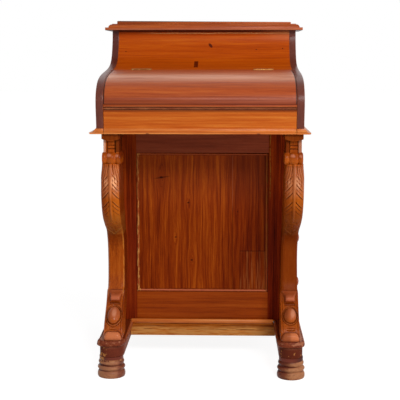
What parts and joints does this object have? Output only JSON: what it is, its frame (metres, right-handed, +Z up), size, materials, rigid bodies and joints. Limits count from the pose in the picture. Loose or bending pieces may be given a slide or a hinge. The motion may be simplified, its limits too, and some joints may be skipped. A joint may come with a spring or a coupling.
{
  "type": "davenport desk",
  "caption": "Small desk with a serpentine lidded body over a narrow pedestal, carved bracket legs, drawers that open to the right, a pull-out writing slide and a stationery flap.",
  "frame": {"origin": "on the floor, under the middle of the bounding box", "axes": "+Z up, +Y to the back of the desk, +X to the sitter's right, the side that the drawers open to"},
  "size_m": [0.546, 0.578, 0.905],
  "materials": {
    "side_mahogany": "polished",
    "cove_mahogany": "polished",
    "lid_mahogany": "polished",
    "slide_mahogany": "polished",
    "top_mahogany": "polished",
    "panel_mahogany": "polished",
    "carved_mahogany": "polished",
    "plinth_mahogany": "satin, worn at the edges",
    "foot_mahogany": "worn polish",
    "lining_wood": "planed",
    "hinge_brass": "aged",
    "writing_leather": "satin"
  },
  "bodies": {
    "carcass": {"side_board_right": "side_mahogany", "side_board_left": "side_mahogany", "body_back": "lining_wood", "body_bottom": "lining_wood", "well_floor": "lining_wood", "cove_panel": "cove_mahogany", "hinge_rail": "lining_wood", "compartment_shelf": "lining_wood", "case_dividers": "lining_wood", "letter_dividers": "lining_wood", "top_frame": "top_mahogany", "side_moulding_right": "slide_mahogany", "side_moulding_left": "slide_mahogany", "lid_hinge_plates": "hinge_brass", "flap_hinge_plates": "hinge_brass", "slide_runners": "lining_wood", "front_stiles": "side_mahogany", "front_rails": "side_mahogany", "front_panel": "panel_mahogany", "front_beading": "panel_mahogany", "left_frame": "side_mahogany", "left_panel": "panel_mahogany", "left_beading": "panel_mahogany", "drawer_posts": "side_mahogany", "drawer_rails": "side_mahogany", "drawer_runners": "lining_wood", "pedestal_back": "lining_wood", "arm_right": "plinth_mahogany", "arm_left": "plinth_mahogany", "arm_mouldings": "plinth_mahogany", "plinth_rails": "plinth_mahogany", "plinth_moulding": "slide_mahogany", "front_feet": "foot_mahogany", "rear_feet": "foot_mahogany", "front_leg_right": "carved_mahogany", "front_leg_left": "carved_mahogany"},
    "lid": {"lid_panel": "lid_mahogany", "lid_lip": "lid_mahogany", "lid_hinge_leaves": "hinge_brass"},
    "flap": {"flap_panel": "top_mahogany", "flap_hinge_leaves": "hinge_brass"},
    "writing_slide": {"slide_front": "slide_mahogany", "slide_moulding": "slide_mahogany", "slide_board": "lining_wood", "slide_leather": "writing_leather"},
    "inner_drawer": {"inner_drawer_front": "lining_wood", "inner_drawer_box": "lining_wood", "inner_drawer_knob": "carved_mahogany"},
    "drawer_1": {"drawer_1_front": "panel_mahogany", "drawer_1_box": "lining_wood", "drawer_1_knobs": "carved_mahogany"},
    "drawer_2": {"drawer_2_front": "panel_mahogany", "drawer_2_box": "lining_wood", "drawer_2_knobs": "carved_mahogany"},
    "drawer_3": {"drawer_3_front": "panel_mahogany", "drawer_3_box": "lining_wood", "drawer_3_knobs": "carved_mahogany"},
    "drawer_4": {"drawer_4_front": "panel_mahogany", "drawer_4_box": "lining_wood", "drawer_4_knobs": "carved_mahogany"}
  },
  "joints": [
    {"name": "lid_hinge", "type": "hinge", "parent": "carcass", "child": "lid", "pos_m": [0, -0.042, 0.7724], "axis": [-1, 0, 0], "range_deg": [0, 138]},
    {"name": "flap_hinge", "type": "hinge", "parent": "carcass", "child": "flap", "pos_m": [0, 0.2771, 0.8999], "axis": [-1, 0, 0], "range_deg": [0, 100]},
    {"name": "writing_slide_pull", "type": "slide", "parent": "carcass", "child": "writing_slide", "axis": [0, -1, 0], "range_m": [0, 0.24]},
    {"name": "inner_drawer_pull", "type": "slide", "parent": "carcass", "child": "inner_drawer", "axis": [0, -1, 0], "range_m": [0, 0.13]},
    {"name": "drawer_1_pull", "type": "slide", "parent": "carcass", "child": "drawer_1", "axis": [1, 0, 0], "range_m": [0, 0.3]},
    {"name": "drawer_2_pull", "type": "slide", "parent": "carcass", "child": "drawer_2", "axis": [1, 0, 0], "range_m": [0, 0.3]},
    {"name": "drawer_3_pull", "type": "slide", "parent": "carcass", "child": "drawer_3", "axis": [1, 0, 0], "range_m": [0, 0.3]},
    {"name": "drawer_4_pull", "type": "slide", "parent": "carcass", "child": "drawer_4", "axis": [1, 0, 0], "range_m": [0, 0.3]}
  ]
}
